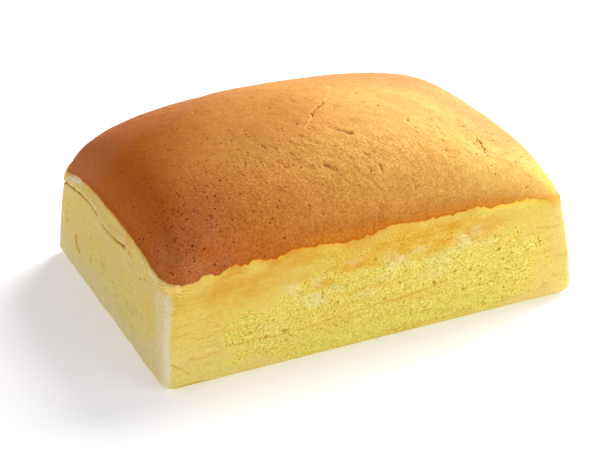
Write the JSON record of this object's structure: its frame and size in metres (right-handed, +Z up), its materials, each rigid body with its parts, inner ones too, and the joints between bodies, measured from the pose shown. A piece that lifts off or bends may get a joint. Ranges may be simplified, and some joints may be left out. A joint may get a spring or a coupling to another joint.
{
  "type": "castella sponge cake",
  "caption": "Whole rectangular loaf of castella sponge cake with a domed, browned crust over pale yellow crumb sides; rests flat on its underside.",
  "frame": {"origin": "middle of the flat underside", "axes": "+X along the loaf's length, +Y across its width, +Z up through the crown of the crust"},
  "size_m": [0.2004, 0.1434, 0.0887],
  "materials": {
    "sponge": "soft matte crumb, browned satin crust on top"
  },
  "bodies": {
    "root": {"cake": "sponge"}
  },
  "joints": []
}
